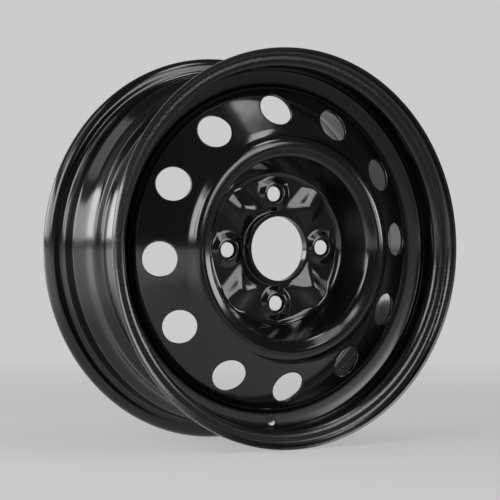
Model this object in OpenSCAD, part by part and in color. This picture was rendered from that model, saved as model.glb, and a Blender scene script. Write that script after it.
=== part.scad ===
// Pressed steel car wheel: a rolled rim with a pressed centre disc welded inside it.
// The wheel is drawn round +Z with its outer face up, then turned so that its axle lies along Y,
// its outer face looks along -Y and its origin is the centre of the rim.

/* [Rim] */
// Diameter of the bead seats where they meet the flanges
bead_d = 380.2; // [372:0.1:396]
// Width between the flanges
rim_w = 139.7; // [136:0.1:146]
// Height of a flange above the bead seat
flange_h = 17.3; // [16:0.1:19]
// Radius of the rolled top of a flange, on the tyre side
flange_r = 9.5; // [9:0.1:10.5]
// Reach of a flange from its tyre side to its cut edge
flange_reach = 13; // [12:0.1:14.5]
// Thickness of the rim band
rim_t = 2.5; // [2:0.1:2.8]
// Fillet in the corner between bead seat and flange
heel_r = 6.5; // [5:0.1:8]
// Slope of the bead seats, in degrees
seat_slope = 5; // [4:0.5:6]
// Width of a bead seat, up to the foot of its hump
seat_w = 18.6; // [18:0.1:19.5]
// Height of the safety humps above the bead seats
hump_h = 1.3; // [0.8:0.1:1.6]
// Depth of the well below the bead seats
well_depth = 17.3; // [16:0.1:19]

/* [Well] */
// Place of the outer foot of the well along the axle, from the rim's centre
well_outer = 36.8; // [35:0.1:38]
// Place of the inner foot of the well along the axle
well_inner = -12.5; // [-15:0.1:-8]
// Depth of the ledge beside the well, below the bead seats
ledge_depth = 9.4; // [8:0.1:11]
// Diameter of the valve hole
valve_d = 11.5; // [11.3:0.1:12.5]
// Turn of the valve hole from straight down, in degrees, clockwise from the outside
valve_turn = 0.9; // [-5:0.1:5]

/* [Disc] */
// Thickness of the disc
disc_t = 3.5; // [3:0.1:4]
// Place of the hub face along the axle, from the rim's centre
offset_et = 40; // [38:0.5:42]
// Diameter of the centre bore
bore_d = 67.1; // [66:0.1:69]
// Height of the turned collar round the bore, from the hub face
collar_h = 12.6; // [11:0.1:14]
// Thickness of the collar, thinner than the sheet it is drawn from
collar_t = 3.1; // [2.6:0.1:3.3]
// Radius of the foot of the bowl wall
foot_r = 74; // [73:0.5:75]
// Radius where the steep wall of the bowl turns into its shallow rise to the nose ring
knee_r = 94.8; // [94:0.2:96]
// Height of that turn above the hub face
knee_h = 38; // [37.4:0.2:38.4]
// Radius of the nose ring, where the bowl ends
nose_r = 102.8; // [101:0.2:104]
// Height of the nose above the hub face
nose_h = 40.4; // [39:0.2:42]
// Width of the flat top of the nose ring
ring_w = 3.8; // [3.4:0.1:5]
// Radius where the crown outside the nose ring turns into the flank
crown_r = 112.5; // [111.5:0.5:114]
// Drop of the crown below the nose ring
crown_drop = 0.2; // [0.1:0.1:0.8]
// Distance from the outside of the disc to the foot of the flank
flank_inset = 36.25; // [35:0.25:37]
// Slope of the flank, in degrees
flank_slope = 38.8; // [38:0.2:40]
// Slope of the hole band, in degrees
band_slope = 28; // [27:0.5:29]
// Radius of the disc's outer shoulder
shoulder_r = 12; // [10:0.5:13]
// Place along the axle where the disc's outer flange ends
flange_end = 16; // [12:0.5:20]
// Gap between the disc's outer flange and the rim
fit_gap = 0.05; // [0.02:0.01:0.1]

/* [Holes] */
// Number of round holes in the band
vent_count = 12; // [8:1:14]
// Diameter of each hole
vent_d = 35; // [30:0.5:36]
// Distance from the outside of the disc to the circle that the holes lie on
vent_inset = 26.05; // [25.5:0.05:26.5]
// Turn of the hole circle, in degrees, anticlockwise from the outside
vent_turn = 3.1; // [0:0.1:30]
// Turn of every second hole against an even spacing, in degrees, from the second stroke of the punch
vent_stagger = 1; // [0:0.1:1]
// Diameter of the circle that the fixing holes lie on
pitch_d = 114.3; // [112:0.1:116]
// Diameter of each fixing hole
lug_d = 15.2; // [14.4:0.1:15.6]
// Diameter of each coned seat at its outer edge
seat_d = 19.2; // [18.8:0.1:20]
// Turn of the hub pattern, in degrees, anticlockwise from the outside
hub_turn = 1.3; // [0:0.1:10]

/* [Ribs] */
// Height of a pressed rib above the hub zone
rib_h = 4.7; // [4:0.1:6]
// Radius where a rib starts beside the collar
rib_start = 46; // [45:0.5:48]
// Radius where the flat top of a rib starts
rib_crest = 56; // [54:0.5:58]
// Width of the flat top at its inner end
rib_top_w = 9.2; // [8:0.2:12]
// Run of a rib's side from its top to its foot
rib_side = 10; // [8:0.2:11]
// Turn of each side from the middle line of the rib, in degrees
rib_spread = 8.5; // [6:0.5:10]

/* [Fixing seats] */
// Radius of the pressed dome round a fixing hole
boss_r = 18.4; // [17:0.2:18.4]
// Height of the dome above the hub zone
boss_h = 3.2; // [3:0.1:3.4]

/* [Welds] */
// Length of a weld bead along the joint, in degrees
weld_arc = 30; // [20:1:36]
// Leg of a weld bead
weld_leg = 3.4; // [3:0.1:3.4]

/* [Hidden] */
weld_count = 8;
$fn = 96;

// Rim places
bead_r = bead_d / 2;
half_w = rim_w / 2;
flange_top = bead_r + flange_h;
lip_end = half_w + flange_reach;
seat_foot = half_w - seat_w;
seat_foot_r = bead_r - seat_w * tan(seat_slope);
well_r = bead_r - well_depth;
ledge_r = bead_r - ledge_depth;
rim_base = 150;
hump_top_r = seat_foot_r + hump_h;
hump_w = 5.4;
wall_run = 6.2;
rim_inner_r = well_r - rim_t;

// Valve hole, in the wall between the outer hump and the well
valve_r = (seat_foot_r + well_r) / 2;
valve_z = well_outer + wall_run / 2;
valve_tilt = atan(wall_run / (seat_foot_r - well_r));

// Disc places
disc_r = rim_inner_r - fit_gap;
hub_top = offset_et + disc_t;
collar_r = bore_d / 2 + collar_t;
collar_top = offset_et + collar_h;
nose_z = offset_et + nose_h;
ring_r = nose_r + ring_w;
ring_z = nose_z + 0.4;
crown_z = ring_z - crown_drop;
flank_r = disc_r - flank_inset;
flank_z = crown_z - (flank_r - crown_r) * tan(flank_slope);
shoulder_z = flank_z - (disc_r - flank_r) * tan(band_slope);
vent_pitch_r = disc_r - vent_inset;
vent_z = flank_z - (vent_pitch_r - flank_r) * tan(band_slope);
tool_reach = 300;
lug_r = pitch_d / 2;
lobe_r = 20.5;
lobe_slope = 75;
lobe_fillet = 2.8;
collar_fillet = 2;

// One corner of a section turned into an arc, from its point, the next and the one before
function unit(v) = v / norm(v);
function arc_corner(before, p, after) =
    let (
        a = unit([before[0] - p[0], before[1] - p[1]]),
        b = unit([after[0] - p[0], after[1] - p[1]]),
        half = acos(max(-1, min(1, a * b))) / 2,
        reach = p[2] / tan(half),
        mid = [p[0], p[1]] + unit(a + b) * p[2] / sin(half),
        start = [p[0], p[1]] + a * reach,
        stop = [p[0], p[1]] + b * reach,
        from = atan2(start[1] - mid[1], start[0] - mid[0]),
        sweep_raw = atan2(stop[1] - mid[1], stop[0] - mid[0]) - from,
        sweep = sweep_raw > 180 ? sweep_raw - 360 : sweep_raw < -180 ? sweep_raw + 360 : sweep_raw,
        steps = max(1, ceil(abs(sweep) / 18))
    )
    [for (i = [0 : steps]) mid + p[2] * [cos(from + sweep * i / steps), sin(from + sweep * i / steps)]];

// Section with rounded corners, from points [radius, place along the axle, corner radius]
function rounded(points) = [
    for (i = [0 : len(points) - 1])
        let (n = len(points), p = points[i])
        each (p[2] == 0 ? [[p[0], p[1]]] : arc_corner(points[(i + n - 1) % n], p, points[(i + 1) % n]))
];

// Tyre side of the rim from inner to outer flange, closed far inside the sheet
rim_points = [
    [rim_base, -half_w - 2 * flange_r, 0],
    [flange_top, -half_w - 2 * flange_r, flange_r],
    [flange_top, -half_w, flange_r],
    [bead_r, -half_w, heel_r],
    [seat_foot_r, -seat_foot, 4],
    [hump_top_r, -seat_foot + 2.2, 4],
    [hump_top_r - 0.2, -seat_foot + hump_w, 5],
    [ledge_r + 0.8, -seat_foot + 15.5, 14],
    [ledge_r, well_inner - 5, 5],
    [well_r, well_inner, 5],
    [well_r, well_outer, 5],
    [seat_foot_r - 0.4, well_outer + wall_run, 4],
    [hump_top_r, seat_foot - 3, 4],
    [seat_foot_r, seat_foot, 4],
    [bead_r, half_w, heel_r],
    [flange_top, half_w, flange_r],
    [flange_top, half_w + 2 * flange_r, flange_r],
    [rim_base, half_w + 2 * flange_r, 0]
];

// Outer face of the disc from the axle to the flange that sits in the rim
disc_points = [
    [-20, flange_end - 20, 0],
    [-20, collar_top, 0],
    [collar_r, collar_top, 1.4],
    [collar_r, hub_top, collar_fillet],
    [foot_r, hub_top, 9],
    [knee_r, offset_et + knee_h, 14],
    [nose_r, nose_z, 2.2],
    [ring_r, ring_z, 2.5],
    [crown_r, crown_z, 16],
    [flank_r, flank_z, 60],
    [disc_r, shoulder_z, shoulder_r],
    [disc_r, flange_end - 20, 0]
];

// Everything is drawn with the outer face up and laid over here, axle along Y
module upright() {
    rotate([90, 0, 0]) children();
}

module turned(angle, radius, height) {
    rotate([0, 0, angle]) translate([radius, 0, height]) children();
}

module rim_section() {
    intersection() {
        difference() {
            polygon(rounded(rim_points));
            offset(delta = -rim_t) polygon(rounded(rim_points));
        }
        translate([rim_base + 2 * rim_t, -lip_end]) square([100, 2 * lip_end]);
    }
}

// Rolled band, with the valve hole drilled square to the wall of the well
module rim() {
    color([0.03, 0.03, 0.032]) upright() difference() {
        rotate_extrude() rim_section();
        turned(-90 - valve_turn, valve_r, valve_z)
            rotate([0, -valve_tilt, 0])
            cylinder(d = valve_d, h = 24, center = true);
    }
}

// Solid below one face of the disc: inset 0 is the outer face, inset disc_t the inner one
module face_section(inset) {
    intersection() {
        offset(delta = -inset) polygon(rounded(disc_points));
        translate([0, flange_end - 10]) square(tool_reach);
    }
}

// Filleted cone that opens the foot of the bowl round a fixing hole
module lobe(inset) {
    foot = lobe_r + inset * tan(lobe_slope / 2);
    rise = nose_z - hub_top;
    translate([0, 0, hub_top - inset]) rotate_extrude() polygon(rounded([
        [0, 0, 0],
        [foot, 0, lobe_fillet + inset],
        [foot + rise / tan(lobe_slope), rise, 0],
        [0, rise, 0]
    ]));
}

// Pressed rib: a flat top, a sloped inner end and sloped sides that spread outwards
module rib(inset) {
    end_slope = atan(rib_h / (rib_crest - rib_start));
    side_slope = atan(rib_h / rib_side);
    end_shift = inset * tan(end_slope / 2);
    edge = rib_top_w / 2 * cos(rib_spread) - rib_crest * sin(rib_spread) - inset * tan(side_slope / 2);
    base = hub_top - inset;
    top = base + rib_h;
    reach = foot_r + 20;
    intersection() {
        rotate([90, 0, 0]) linear_extrude(reach, center = true) polygon([
            [rib_start + end_shift, base],
            [rib_crest + end_shift, top],
            [reach, top + 1],
            [reach, base]
        ]);
        rib_flank(-1, edge, base, reach);
        rib_flank(1, edge, base, reach);
    }
}

// Everything on the inner side of one sloped side of a rib
module rib_flank(side, edge, base, reach) {
    rotate([0, 0, side * rib_spread]) rotate([90, 0, 90])
        linear_extrude(reach + 20) polygon([
            [-side * reach, base],
            [side * (edge + rib_side), base],
            [side * (edge - rib_side), base + 2 * rib_h],
            [-side * reach, base + 2 * rib_h]
        ]);
}

// Pressed shape below one face, with the lobes opened and the ribs raised
module pressed(inset) {
    difference() {
        rotate_extrude() face_section(inset);
        difference() {
            for (i = [0 : 3]) turned(90 * i, lug_r, 0) lobe(inset);
            cylinder(r = lug_r, h = nose_z + 10);
        }
    }
    intersection() {
        for (i = [0 : 3]) rotate([0, 0, 45 + 90 * i]) rib(inset);
        translate([0, 0, hub_top - inset - 1]) cylinder(r = nose_r - 12, h = 30);
    }
}

// Pressed dome round one fixing hole, with a coined cone in front and a coined ring behind
module lug_seat() {
    top = hub_top + boss_h;
    land_r = seat_d / 2 + 2.4;
    back_shift = disc_t * tan(atan(boss_h / (boss_r - land_r)) / 2);
    rotate_extrude() polygon([
        [boss_r, offset_et],
        [boss_r, hub_top],
        [land_r, top],
        [seat_d / 2, top],
        [lug_d / 2, top - (seat_d - lug_d) / 2 / tan(30)],
        [lug_d / 2, offset_et + 0.8],
        [lug_d / 2 + 1, offset_et],
        [land_r - 1.8, offset_et],
        [land_r, top - disc_t],
        [boss_r - back_shift, offset_et]
    ]);
}

// Pressed centre: one sheet, the same thickness from the collar to the outer flange
module disc() {
    color([0.03, 0.03, 0.032]) upright() {
        difference() {
            rotate([0, 0, hub_turn]) pressed(0);
            rotate([0, 0, hub_turn]) pressed(disc_t);
            cylinder(d = bore_d, h = tool_reach);
            translate([0, 0, flange_end - tool_reach]) cylinder(r = tool_reach, h = tool_reach);
            for (i = [0 : 3]) turned(hub_turn + 90 * i, lug_r, 0) cylinder(r = boss_r, h = hub_top + 4);
            for (i = [0 : vent_count - 1])
                turned(90 + vent_turn + 360 / vent_count * i + vent_stagger * (i % 2), vent_pitch_r, vent_z)
                rotate([0, band_slope, 0])
                cylinder(d = vent_d, h = 40, center = true);
        }
        for (i = [0 : 3]) turned(hub_turn + 90 * i, lug_r, 0) lug_seat();
    }
}

// Fillet of weld metal between the cut edge of the disc's flange and the inside of the well
module weld_bead(index) {
    color([0.045, 0.045, 0.047]) upright()
        rotate([0, 0, 360 / weld_count * index - weld_arc / 2])
        rotate_extrude(angle = weld_arc) polygon([
            [rim_inner_r, flange_end],
            [disc_r - weld_leg, flange_end],
            [rim_inner_r - weld_leg * 0.45, flange_end - weld_leg * 0.75],
            [rim_inner_r, flange_end - weld_leg * 1.2]
        ]);
}

rim();
disc();
for (i = [1 : weld_count])
    weld_bead(i);
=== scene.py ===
import math
from bisect import bisect

import bmesh
import bpy
from mathutils import Matrix, Vector


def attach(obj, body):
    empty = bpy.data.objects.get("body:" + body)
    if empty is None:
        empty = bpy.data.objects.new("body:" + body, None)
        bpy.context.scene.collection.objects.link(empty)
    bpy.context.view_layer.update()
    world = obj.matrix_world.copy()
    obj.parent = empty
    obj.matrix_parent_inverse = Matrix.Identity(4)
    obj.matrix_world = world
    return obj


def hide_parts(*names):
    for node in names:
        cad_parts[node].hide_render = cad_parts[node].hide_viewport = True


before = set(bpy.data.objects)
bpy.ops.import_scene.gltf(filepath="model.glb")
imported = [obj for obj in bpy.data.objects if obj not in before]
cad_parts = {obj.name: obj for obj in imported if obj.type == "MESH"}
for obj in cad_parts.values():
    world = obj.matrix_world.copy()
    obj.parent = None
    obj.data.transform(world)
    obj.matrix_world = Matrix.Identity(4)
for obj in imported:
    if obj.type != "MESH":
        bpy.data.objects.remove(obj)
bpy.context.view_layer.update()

# Camera: level with the hub, 31 degrees to the left of the axle and two metres away,
# with a long lens. Its three axes and its place were fitted to the circles of the wheel.
lens = bpy.data.cameras.new("lens")
lens.sensor_width = 36
lens.lens = 141.35
camera = bpy.data.objects.new("camera", lens)
camera.matrix_world = Matrix((
    (0.859053, 0.0, -0.511887, -1.07335),
    (-0.511879, 0.005831, -0.859038, -1.79445),
    (0.002985, 0.999983, 0.005009, 0.00873),
    (0, 0, 0, 1)))
bpy.context.scene.collection.objects.link(camera)
bpy.context.scene.camera = camera


# Rim: one steel strip rolled into a band with flanges, bead seats, humps and a well, and a
# valve hole punched in the wall of the well. Its black coat is glossy, rippled as orange peel
# on the outer flange and the bead seat, and dry on the wall with the hole.
class Wire:
    """One socket of a paint's node tree that takes part in sums."""

    def __init__(self, tree, socket):
        self.tree = tree
        self.socket = socket

    def node(self, kind, settings, inputs, output=0):
        made = self.tree.nodes.new(kind)
        for name, value in settings.items():
            setattr(made, name, value)
        for key, value in inputs.items():
            if isinstance(value, Wire):
                self.tree.links.new(value.socket, made.inputs[key])
            else:
                made.inputs[key].default_value = value
        return Wire(self.tree, made.outputs[output])

    def math(self, operation, one, other):
        return self.node("ShaderNodeMath", {"operation": operation}, {0: one, 1: other})

    def __add__(self, other):
        return self.math("ADD", self, other)

    def __sub__(self, other):
        return self.math("SUBTRACT", self, other)

    def __rsub__(self, other):
        return self.math("SUBTRACT", other, self)

    def __mul__(self, other):
        return self.math("MULTIPLY", self, other)

    __radd__ = __add__
    __rmul__ = __mul__

    def step(self, low, high):
        """0 below low, 1 above high, and a smooth rise between"""
        return self.node("ShaderNodeMapRange", {"interpolation_type": "SMOOTHSTEP"},
                         {"Value": self, "From Min": low, "From Max": high})

    def noise(self, scale, detail=2.0, roughness=0.5):
        return self.node("ShaderNodeTexNoise", {},
                         {"Vector": self, "Scale": scale, "Detail": detail, "Roughness": roughness})

    def tint(self, low, high):
        """Colour between two, as this socket goes from 0 to 1"""
        return self.node("ShaderNodeMix", {"data_type": "RGBA"}, {"Factor": self, 6: low, 7: high}, 2)


def black_paint(name, peel_share, peel_height, gloss, dry_share=0.0):
    """Black coat; the shares of orange peel and of dry spray are numbers or made from the place"""
    material = bpy.data.materials.new(name)
    material.use_nodes = True
    tree = material.node_tree
    shader = tree.nodes["Principled BSDF"]
    place = Wire(tree, tree.nodes.new("ShaderNodeTexCoord").outputs["Object"])
    cloud = place.noise(9.0, 3.0)
    specks = place.noise(900.0, 2.0).step(0.66, 0.74)
    mask = peel_share(place) if callable(peel_share) else peel_share
    dry = dry_share(place) if callable(dry_share) else dry_share
    peel = place.noise(420.0, 1.5) * mask + place.noise(1100.0, 1.0) * 0.35 * mask
    sag = place.noise(38.0, 2.0, 0.4)
    dust = cloud.step(0.35, 0.7) * 0.5 + specks * 0.5
    clean_black = (0.0022, 0.0022, 0.0024, 1)
    dusty_black = (0.0052, 0.0052, 0.0055, 1)
    colour = dust.tint(clean_black, dusty_black)
    rough = cloud.step(0.3, 0.7) * 0.04 + specks * 0.08 + mask * 0.05 + gloss + dry * 0.3
    small = place.node("ShaderNodeBump", {}, {"Strength": 1.0, "Distance": peel_height, "Height": peel})
    sag_height = 0.00012
    waves = place.node("ShaderNodeBump", {},
                       {"Strength": 1.0, "Distance": sag_height, "Height": sag, "Normal": small})
    tree.links.new(colour.socket, shader.inputs["Base Color"])
    tree.links.new(rough.socket, shader.inputs["Roughness"])
    tree.links.new(waves.socket, shader.inputs["Normal"])
    shader.inputs["IOR"].default_value = 1.5
    tree.links.new((0.35 - specks * 0.1 - dry * 0.35).socket, shader.inputs["Coat Weight"])
    shader.inputs["Coat Roughness"].default_value = 0.12
    return material


def radius_from_axle(place):
    flat = place.node("ShaderNodeVectorMath", {"operation": "MULTIPLY"}, {0: place, 1: (1, 0, 1)})
    return place.node("ShaderNodeVectorMath", {"operation": "LENGTH"}, {0: flat}, "Value")


def outer_flange_and_seat(place):
    """1 on the outer flange's web, its bend and the bead seat, as seen from the outside"""
    across = place.node("ShaderNodeSeparateXYZ", {}, {0: place}, 1)
    return (1 - across.step(-0.050, -0.044)) * radius_from_axle(place).step(0.180, 0.184) * 0.9 + 0.1


def wall_of_the_well(place):
    """1 on the wall with the valve hole, where the spray falls dry and thin"""
    across = place.node("ShaderNodeSeparateXYZ", {}, {0: place}, 1)
    along_axle = across.step(-0.0445, -0.0415) * (1 - across.step(-0.037, -0.034))
    return along_axle * radius_from_axle(place).step(0.169, 0.171)


rim_paint = black_paint("rim_paint", outer_flange_and_seat, 0.00016, 0.14, wall_of_the_well)


def section_wire(corners, spacing):
    """Wire through points of radius, place along the axle and corner radius, in mm"""
    wire = bmesh.new()
    points = [Vector((radius, -along, 0)) / 1000 for radius, along, _ in corners]
    verts = [wire.verts.new(point) for point in points]
    for one, other in zip(verts, verts[1:]):
        wire.edges.new((one, other))
    for i in range(1, len(corners) - 1):
        turn = (points[i] - points[i - 1]).angle(points[i + 1] - points[i])
        bmesh.ops.bevel(
            wire, geom=[verts[i]], offset=corners[i][2] / 1000 * math.tan(turn / 2), offset_type="OFFSET",
            segments=max(2, round(math.degrees(turn) / 9)), profile=0.5, affect="VERTICES", material=-1)
    for edge in wire.edges[:]:
        middle = (edge.verts[0].co + edge.verts[1].co).x * 500
        cuts = math.ceil(edge.calc_length() * 1000 / spacing(middle)) - 1
        if cuts > 0:
            bmesh.ops.subdivide_edges(wire, edges=[edge], cuts=cuts)
    return wire


def turned(wire, steps):
    """Spins a wire once round the axle"""
    bmesh.ops.spin(wire, geom=wire.verts[:] + wire.edges[:], cent=(0, 0, 0), axis=(0, 1, 0),
                   dvec=(0, 0, 0), angle=math.tau, steps=steps, use_merge=True, use_duplicate=False)


def patch_round(centre, half_radial, half_round):
    """Test for places in the block of faces round a hole, by radius and by arc"""
    radius = math.hypot(centre.x, centre.z)
    angle = math.atan2(centre.z, centre.x)

    def inside(place):
        turn = (math.atan2(place.z, place.x) - angle + math.pi) % math.tau - math.pi
        near = abs(math.hypot(place.x, place.z) - radius) < half_radial and abs(turn) * radius < half_round
        return near and place.y < -0.03
    return inside


def punch(sheet, centre, inside, rings, tilt=0.0):
    """Swaps the faces round centre for rings of faces that close in on a round hole; the first
    ring is bridged from in front, where the two loops can't pair up twisted"""
    gone = [face for face in sheet.faces if inside(face.calc_center_median())]
    rim_edges = {edge for face in gone for edge in face.edges}
    bmesh.ops.delete(sheet, geom=gone, context="FACES")
    rim_edges = [edge for edge in rim_edges if edge.is_valid and edge.is_boundary]
    across = Vector((centre.x, 0, centre.z)).normalized()
    along = Vector((0, 1, 0)).cross(across)
    lean = Matrix.Rotation(tilt, 3, along)
    frame_of_hole = Matrix((lean @ across, lean @ Vector((0, 1, 0)), along)).transposed().to_4x4()
    lift = Vector((0, -0.02, 0))
    place = Matrix.Translation(centre + lift) @ frame_of_hole @ Matrix.Rotation(math.pi / 2, 4, "X")
    circle = bmesh.ops.create_circle(sheet, segments=len(rim_edges), radius=rings[0], matrix=place)["verts"]
    edges = list({edge for vert in circle for edge in vert.link_edges})
    bmesh.ops.bridge_loops(sheet, edges=rim_edges + edges)
    bmesh.ops.translate(sheet, vec=-lift, verts=circle)
    for before, ring in zip(rings, rings[1:]):
        grown = bmesh.ops.extrude_edge_only(sheet, edges=edges)["geom"]
        verts = [item for item in grown if isinstance(item, bmesh.types.BMVert)]
        edges = [item for item in grown if isinstance(item, bmesh.types.BMEdge)]
        bmesh.ops.scale(sheet, vec=(ring / before,) * 3, space=Matrix.Translation(-centre), verts=verts)


def steel_sheet(name, sheet, outside, thickness, edge, paint, node):
    """Object of a finished sheet with its thickness and eased edges, riding on the wheel"""
    bmesh.ops.remove_doubles(sheet, verts=sheet.verts[:], dist=0.00002)
    bmesh.ops.recalc_face_normals(sheet, faces=sheet.faces[:])
    if not outside(sheet):
        bmesh.ops.reverse_faces(sheet, faces=sheet.faces[:])
    data = bpy.data.meshes.new(name)
    sheet.to_mesh(data)
    sheet.free()
    data.shade_smooth()
    data.materials.append(paint)
    piece = bpy.data.objects.new(name, data)
    bpy.context.scene.collection.objects.link(piece)
    solid = piece.modifiers.new("steel", "SOLIDIFY")
    solid.thickness = thickness
    solid.offset = -1
    solid.use_even_offset = True
    bevel = piece.modifiers.new("eased_edges", "BEVEL")
    bevel.width = edge
    bevel.segments = 3
    bevel.limit_method = "ANGLE"
    bevel.angle_limit = math.radians(55)
    bevel.harden_normals = True
    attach(piece, "root")
    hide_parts(node)
    return piece


# The tyre side of the band, as a section that is turned round the axle and given its steel
band_corners = [
    (206.73, -82.85, 0), (207.4, -81.17, 9), (207.4, -69.85, 9), (190.1, -69.85, 6.5), (188.47, -51.25, 4),
    (189.77, -49.05, 4), (189.57, -45.85, 5), (181.5, -35.75, 14), (180.7, -17.5, 5), (172.8, -12.5, 5),
    (172.8, 36.8, 5), (188.07, 43.0, 4), (189.77, 48.25, 4), (188.47, 51.25, 4), (190.1, 69.85, 6.5),
    (207.4, 69.85, 9), (207.4, 81.17, 9), (206.73, 82.85, 0)]


def band_spacing(radius):
    """Close on the wall that the valve hole is punched in, and wide elsewhere"""
    return 1.2 if 179.5 < radius < 180.9 else 7.0


def band_faces_tyre(sheet):
    face = min(sheet.faces, key=lambda one: abs(one.calc_center_median().y))
    middle = face.calc_center_median()
    return face.normal.dot(Vector((middle.x, 0, middle.z))) > 0


band = section_wire(band_corners, band_spacing)
turned(band, 360)
valve_turn = math.radians(-90.9)
valve_r = 0.1805
wall_lean = math.radians(22.1)
valve_place = Vector((valve_r * math.cos(valve_turn), -0.0399, valve_r * math.sin(valve_turn)))
punch(band, valve_place, patch_round(valve_place, 0.0066, 0.0080), [0.0063, 0.00575], tilt=wall_lean)
band_steel = 0.0025
eased_edge = 0.0007
steel_sheet("rim_band", band, band_faces_tyre, band_steel, eased_edge, rim_paint, "rim")


# Disc: one round blank of 3.5 mm sheet, pressed into collar, hub zone, bowl, nose ring and
# hole band. Four ribs, the lobes and domes round the fixing holes and the eased edges of the
# twelve holes are pressed into the same sheet.
disc_corners = [
    (37.05, 52.6, 0), (37.05, 43.5, 2), (78.6, 43.5, 8), (96, 76.8, 7), (103.9, 80.3, 0.4),
    (104.5, 80.8, 0.4), (107.5, 80.9, 0.4), (108.1, 80.4, 0.4), (112.6, 79.9, 8), (119.2, 72.4, 24),
    (170.25, 44.02, 12), (170.25, 16, 0)]
hub_turn = math.radians(1.3)
hub_top = 43.5
lug_pitch_r = 57.15
lug_turns = [hub_turn + math.pi / 2 * i for i in range(4)]


def disc_spacing(radius):
    """Spacing of the section's points: close where ribs, lobes and the nose ring are pressed,
    and wide on the hole band and on the flange"""
    if 102.5 < radius < 110:
        return 0.8
    return 1.2 if radius < 86 else 1.9 if radius < 124 else 3.1 if radius < 165 else 7.0


disc_sheet = section_wire(disc_corners, disc_spacing)
profile = sorted((vert.co.x * 1000, -vert.co.y * 1000) for vert in disc_sheet.verts)
profile = [point for point in profile if point[0] > 38.9]


def profile_height(radius):
    i = min(max(bisect(profile, (radius, 0)), 1), len(profile) - 1)
    (r0, a0), (r1, a1) = profile[i - 1], profile[i]
    return a1 if r1 - r0 < 1e-6 else a0 + (a1 - a0) * min(max((radius - r0) / (r1 - r0), 0), 1)


def soft_max(one, other, blend):
    close = max(blend - abs(one - other), 0) / blend
    return max(one, other) + close * close * blend / 4


def soft_min(one, other, blend):
    return -soft_max(-one, -other, blend)


def ease(value):
    value = min(max(value, 0), 1)
    return value * value * (3 - 2 * value)


def rib_height(along, across):
    """Flat top, sloped sides that spread outwards and a sloped end beside the collar"""
    half = 4.6 + (along - 56) * math.tan(math.radians(8.5))
    top = 48.6 - (along - 56) * 0.08
    side = top - (abs(across) - half) * 0.47
    end = top - (56 - along) * 0.47
    return soft_min(soft_min(top, side, 2.2), end, 3.0)


def pressed_height(x, z):
    radius = math.hypot(x, z)
    height = profile_height(radius)
    if radius < 92:
        gaps = [math.hypot(x - lug_pitch_r * math.cos(angle), z - lug_pitch_r * math.sin(angle))
                for angle in lug_turns]
        for gap in gaps:
            if radius > 57 and gap < 40:
                lobe_wall = soft_max(0, (gap - 20.5) * math.tan(math.radians(75)), 5)
                height = min(height, max(hub_top + lobe_wall, hub_top))
        for angle, gap in zip(lug_turns, gaps):
            height += 3.2 * ease((19.5 - gap) / 9.0)
            if gap < 10.2:
                height -= soft_max(0, (9.6 - gap) * math.tan(math.radians(60)), 0.7)
            angle += math.pi / 4
            along = x * math.cos(angle) + z * math.sin(angle)
            across = z * math.cos(angle) - x * math.sin(angle)
            if along > 40 and abs(across) < 30:
                height = soft_max(height, rib_height(along, across), 3.0)
    return height


def disc_faces_out(sheet):
    face = min(sheet.faces, key=lambda one: abs(math.hypot(*one.calc_center_median().xz) - 0.12))
    return face.normal.y < 0


turned(disc_sheet, 252)

vent_pitch_r = 0.1442
vent_lean = math.radians(28)
vent_rings = [0.0192, 0.0186, 0.0181, 0.0178, 0.0175]
vent_centres = []
for i in range(12):
    angle = math.radians(93.1 + 30 * i + i % 2)
    centre = Vector((vent_pitch_r * math.cos(angle), -0.0579, vent_pitch_r * math.sin(angle)))
    vent_centres.append(centre)
    punch(disc_sheet, centre, patch_round(centre, 0.0188, 0.0212), vent_rings, tilt=-vent_lean)

lug_rings = [0.0126, 0.0119, 0.0112, 0.0105, 0.0101, 0.0098, 0.0096, 0.0094, 0.009, 0.0084, 0.0079, 0.0076]
for angle in lug_turns:
    centre = Vector((lug_pitch_r * math.cos(angle), -hub_top, lug_pitch_r * math.sin(angle))) / 1000
    punch(disc_sheet, centre, patch_round(centre, 0.0140, 0.0140), lug_rings)

for vert in disc_sheet.verts:
    radius = math.hypot(vert.co.x, vert.co.z) * 1000
    if 39.2 < radius < 166 and vert.co.y < -0.03:
        height = pressed_height(vert.co.x * 1000, vert.co.z * 1000)
        if radius > 120:
            for centre in vent_centres:
                away = Vector((vert.co.x - centre.x, 0, vert.co.z - centre.z))
                if away.length < 0.022:
                    outwards = Vector((centre.x, 0, centre.z)).normalized()
                    up_the_slope = away.dot(outwards) / math.cos(vent_lean)
                    gap = math.hypot(up_the_slope, away.cross(outwards).length) * 1000
                    height -= 0.7 * ease((19.0 - gap) / 1.9) ** 2
        vert.co.y = -height / 1000


disc_paint = black_paint("disc_paint", 0.12, 0.0001, 0.11)
disc_steel = 0.0035
steel_sheet("pressed_disc", disc_sheet, disc_faces_out, disc_steel, eased_edge,
            disc_paint, "disc")


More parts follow.
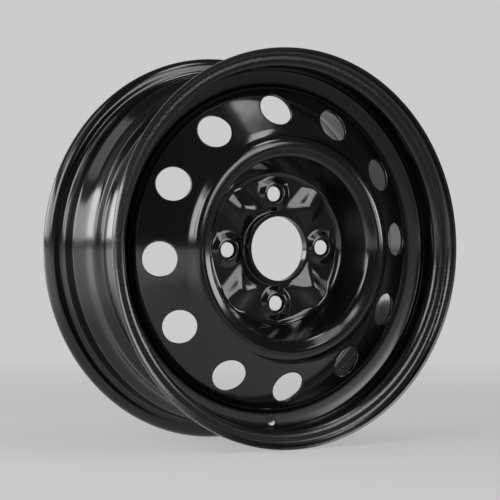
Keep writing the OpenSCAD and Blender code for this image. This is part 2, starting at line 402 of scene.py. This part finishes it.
# Weld beads: eight short fillets laid by a welding torch between the edge of the disc's
# flange and the well, each with the ripples of its cooling pools, under the same black coat.
weld_paint = black_paint("weld_paint", 0.12, 0.0003, 0.3)
bead_path_r = 0.1688
bead_back = 0.0143
bead_arc = math.radians(30)
for index in range(1, 9):
    bead = bmesh.new()
    start = math.radians(45 * index - 15)
    section = Matrix.Translation((bead_path_r, -bead_back, 0))
    ring = bmesh.ops.create_circle(bead, segments=12, radius=0.0021, matrix=section)["verts"]
    bmesh.ops.rotate(bead, cent=(0, 0, 0), matrix=Matrix.Rotation(-start, 3, "Y"), verts=ring)
    bmesh.ops.contextual_create(bead, geom=ring)
    bmesh.ops.spin(bead, geom=bead.verts[:] + bead.edges[:] + bead.faces[:], cent=(0, 0, 0), axis=(0, -1, 0),
                   dvec=(0, 0, 0), angle=bead_arc, steps=90, use_merge=False, use_duplicate=False)
    for vert in bead.verts:
        turn = (math.atan2(vert.co.z, vert.co.x) - start) % math.tau
        part = turn / bead_arc if turn < math.pi else 0
        place = start + turn
        heart = Vector((bead_path_r * math.cos(place), -bead_back, bead_path_r * math.sin(place)))
        ends = min(1, 0.35 + 5 * min(part, 1 - part)) if part < 1 else 0.35
        ripple = 1 + 0.07 * math.sin(part * math.tau * 22 + 6 * (vert.co.y + bead_back) / 0.002)
        vert.co = heart + (vert.co - heart) * ends * ripple
    bmesh.ops.recalc_face_normals(bead, faces=bead.faces[:])
    data = bpy.data.meshes.new(f"bead_{index}")
    bead.to_mesh(data)
    bead.free()
    data.shade_smooth()
    data.materials.append(weld_paint)
    piece = bpy.data.objects.new(f"bead_{index}", data)
    bpy.context.scene.collection.objects.link(piece)
    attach(piece, "root")
    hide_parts(f"weld_bead_{index}")


# Floor: one wide pale sheet, seamless with the backdrop. The camera and the gloss see its own
# plain grey, and near the wheel a part of its matt shade with the wheel's shadow. The gloss
# finds it lighter on the left and darker in front, as a lit and an unlit part of a studio.
backdrop_grey = 0.6
tread_height = 0.2074
floor_mesh = bmesh.new()
bmesh.ops.create_grid(floor_mesh, x_segments=1, y_segments=1, size=60,
                      matrix=Matrix.Translation((0, 0, -tread_height)))
floor_data = bpy.data.meshes.new("floor")
floor_mesh.to_mesh(floor_data)
floor_mesh.free()
floor_paper = bpy.data.materials.new("floor_paper")
floor_paper.use_nodes = True
tree = floor_paper.node_tree
tree.nodes["Principled BSDF"].inputs["Base Color"].default_value = (0.6, 0.6, 0.6, 1)
tree.nodes["Principled BSDF"].inputs["Roughness"].default_value = 0.8
tree.nodes["Principled BSDF"].inputs["Specular IOR Level"].default_value = 0.1
path = tree.nodes.new("ShaderNodeLightPath")
place = Wire(tree, tree.nodes.new("ShaderNodeTexCoord").outputs["Object"])
far = place.node("ShaderNodeVectorMath", {"operation": "LENGTH"}, {0: place}, "Value").step(0.5, 1.7)
mirrored = Wire(tree, path.outputs["Is Glossy Ray"]) + Wire(tree, path.outputs["Is Transmission Ray"])
shown = Wire(tree, path.outputs["Is Camera Ray"]) + mirrored
to_the_right = place.node("ShaderNodeSeparateXYZ", {}, {0: place}, 0)
in_front = place.node("ShaderNodeVectorMath", {"operation": "DOT_PRODUCT"},
                      {0: place, 1: (0.26, -0.966, 0)}, "Value")
pool_of_light = (1 - to_the_right.step(-0.6, -0.25)) - in_front.step(0.25, 0.5) * 0.45
plain = place.node("ShaderNodeEmission", {},
                   {"Color": mirrored * pool_of_light + backdrop_grey, "Strength": 1.0})
matt = Wire(tree, tree.nodes["Principled BSDF"].outputs["BSDF"])
mixed = place.node("ShaderNodeMixShader", {}, {0: shown * (far * 0.35 + 0.65), 1: matt, 2: plain})
tree.links.new(mixed.socket, tree.nodes["Material Output"].inputs["Surface"])
floor_data.materials.append(floor_paper)
floor = bpy.data.objects.new("floor", floor_data)
bpy.context.scene.collection.objects.link(floor)


# Light: a long strip and soft panels on the left, soft panels in front, far on the right and
# above, and a dark ceiling and camera side, so that the black coat shows long soft streaks.
def panel(name, azimuth, height, width, tall, glow):
    """Area light 2.2 m from the hub; azimuth 0 is in front of the wheel, and glow its brightness"""
    light = bpy.data.lights.new(name, "AREA")
    light.shape = "RECTANGLE"
    light.size = width
    light.size_y = tall
    light.energy = glow * math.pi * width * tall
    lamp = bpy.data.objects.new(name, light)
    turn, rise = math.radians(azimuth), math.radians(height)
    away = Vector((math.sin(turn) * math.cos(rise), -math.cos(turn) * math.cos(rise), math.sin(rise)))
    lamp.location = away * 2.2
    lamp.rotation_euler = away.to_track_quat("Z", "Y").to_euler()
    lamp.visible_camera = False
    bpy.context.scene.collection.objects.link(lamp)


panel("left_strip", -116, 14, 3.5, 0.78, 4.6)
panel("left_panel", -62, 24, 1.15, 1.45, 2.6)
panel("left_panel_heart", -58, 22, 0.5, 1.1, 4.0)
panel("right_panel", 15, 17, 1.15, 0.9, 4.2)
panel("right_far_panel", 74, 8, 2.0, 0.5, 4.5)
panel("right_upper_panel", 17, 38, 0.55, 0.95, 2.2)
panel("top_panel", 30, 63, 0.5, 0.65, 5.5)
panel("upper_left_panel", -100, 50, 1.1, 1.3, 1.2)

world = bpy.data.worlds.new("studio")
world.use_nodes = True
bpy.context.scene.world = world
tree = world.node_tree
back = tree.nodes["Background"]
path = tree.nodes.new("ShaderNodeLightPath")
looking = Wire(tree, tree.nodes.new("ShaderNodeTexCoord").outputs["Generated"])
behind = looking.node("ShaderNodeVectorMath", {"operation": "DOT_PRODUCT"},
                      {0: looking, 1: (0.512, 0.859, 0)}, "Value")
mirrored = Wire(tree, path.outputs["Is Glossy Ray"]) + Wire(tree, path.outputs["Is Transmission Ray"])
height = looking.node("ShaderNodeSeparateXYZ", {}, {0: looking}, 2)
low = 1 - height.step(0.2, 0.6)
seen = Wire(tree, path.outputs["Is Camera Ray"]) + mirrored * behind.step(0.2, 0.7) * low
dark_side = 0.08
tree.links.new((seen * (backdrop_grey - dark_side) + dark_side).socket, back.inputs["Color"])

bpy.context.scene.view_settings.view_transform = "Standard"
